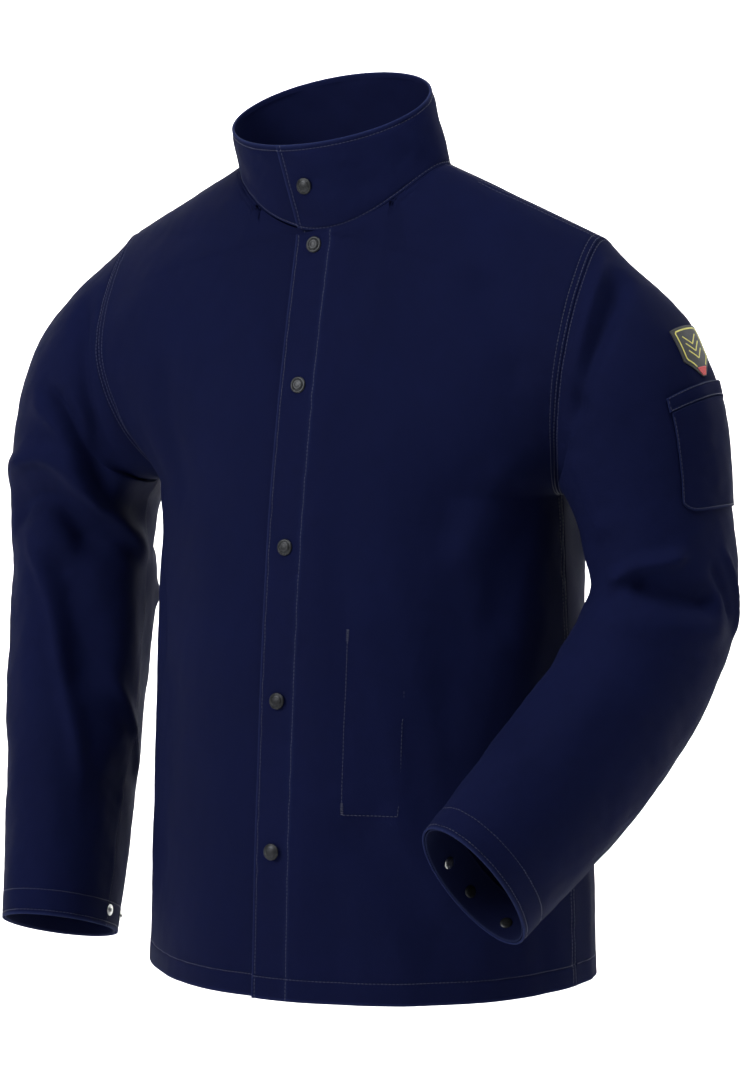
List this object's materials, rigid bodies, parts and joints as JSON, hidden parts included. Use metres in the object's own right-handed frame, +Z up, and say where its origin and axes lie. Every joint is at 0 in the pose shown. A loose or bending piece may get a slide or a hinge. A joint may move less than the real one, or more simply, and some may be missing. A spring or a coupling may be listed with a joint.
{
  "type": "welding jacket",
  "caption": "Hip-length navy cotton welding jacket in its worn shape, with stand-up collar, snap-closed overlapping fronts, set-in sleeves, sleeve patch pocket and snap cuffs.",
  "frame": {"origin": "on the middle plane, level with the side-neck points, inside the neck opening", "axes": "+Z up, the wearer faces -Y, the wearer's left is +X"},
  "size_m": [0.7538, 0.4389, 0.8345],
  "materials": {
    "shell_cloth": "matt navy twill",
    "facing_cloth": "matt navy twill, inner side",
    "dark_metal": "black-nickel plated snap brass",
    "bright_metal": "nickel plated snap brass",
    "badge_cloth": "black woven badge with yellow lines and a red tip"
  },
  "bodies": {
    "torso": {"back_panel": "shell_cloth", "left_side_front": "shell_cloth", "right_side_front": "shell_cloth", "collar_back": "shell_cloth"},
    "left_front": {"left_front_panel": "shell_cloth", "left_placket_facing": "facing_cloth", "collar_left": "shell_cloth", "inside_pocket": "facing_cloth", "snap_cap_1": "dark_metal", "snap_cap_2": "dark_metal", "snap_cap_3": "dark_metal", "snap_cap_4": "dark_metal", "snap_cap_5": "dark_metal", "snap_cap_6": "dark_metal", "snap_socket_1": "bright_metal", "snap_socket_2": "bright_metal", "snap_socket_3": "bright_metal", "snap_socket_4": "bright_metal", "snap_socket_5": "bright_metal", "snap_socket_6": "bright_metal"},
    "right_front": {"right_front_panel": "shell_cloth", "right_placket_facing": "facing_cloth", "collar_right": "shell_cloth", "snap_stud_1": "bright_metal", "snap_stud_2": "bright_metal", "snap_stud_3": "bright_metal", "snap_stud_4": "bright_metal", "snap_stud_5": "bright_metal", "snap_stud_6": "bright_metal", "snap_post_1": "dark_metal", "snap_post_2": "dark_metal", "snap_post_3": "dark_metal", "snap_post_4": "dark_metal", "snap_post_5": "dark_metal", "snap_post_6": "dark_metal"},
    "left_upper_sleeve": {"left_sleeve_upper": "shell_cloth", "left_sleeve_elbow": "shell_cloth", "sleeve_pocket": "shell_cloth", "sleeve_pocket_band": "shell_cloth", "sleeve_badge": "badge_cloth"},
    "left_lower_sleeve": {"left_sleeve_lower": "shell_cloth", "left_cuff_facing": "facing_cloth", "left_cuff_stud_1": "bright_metal", "left_cuff_stud_2": "bright_metal", "left_cuff_cap": "dark_metal"},
    "right_upper_sleeve": {"right_sleeve_upper": "shell_cloth", "right_sleeve_elbow": "shell_cloth"},
    "right_lower_sleeve": {"right_sleeve_lower": "shell_cloth", "right_cuff_facing": "facing_cloth", "right_cuff_stud_1": "bright_metal", "right_cuff_stud_2": "bright_metal", "right_cuff_cap": "dark_metal"}
  },
  "joints": [
    {"name": "left_front_open", "type": "hinge", "parent": "torso", "child": "left_front", "pos_m": [0.11365, -0.147, -0.38175], "axis": [-0.101, 0.0695, 0.9925], "range_deg": [0, 75]},
    {"name": "right_front_open", "type": "hinge", "parent": "torso", "child": "right_front", "pos_m": [-0.1113, -0.147, -0.38175], "axis": [0.1074, 0.0694, 0.9918], "range_deg": [-26.25, 0]},
    {"name": "left_shoulder", "type": "hinge", "parent": "torso", "child": "left_upper_sleeve", "pos_m": [0.248, -0.01, -0.056], "axis": [0, -1, 0], "range_deg": [0, 60]},
    {"name": "left_elbow", "type": "hinge", "parent": "left_upper_sleeve", "child": "left_lower_sleeve", "pos_m": [0.306, -0.01, -0.392], "axis": [-0.8481, 0.5034, -0.1653], "range_deg": [-35, 15], "deforming": ["left_sleeve_elbow"]},
    {"name": "right_shoulder", "type": "hinge", "parent": "torso", "child": "right_upper_sleeve", "pos_m": [-0.248, -0.01, -0.056], "axis": [0, 1, 0], "range_deg": [0, 60]},
    {"name": "right_elbow", "type": "hinge", "parent": "right_upper_sleeve", "child": "right_lower_sleeve", "pos_m": [-0.323, 0.01, -0.408], "axis": [-0.932, -0.361, 0.0323], "range_deg": [-10, 55], "deforming": ["right_sleeve_elbow"]}
  ],
  "couplings": [
    {"joint": "right_front_open", "follows": "left_front_open", "ratio": -0.35}
  ]
}
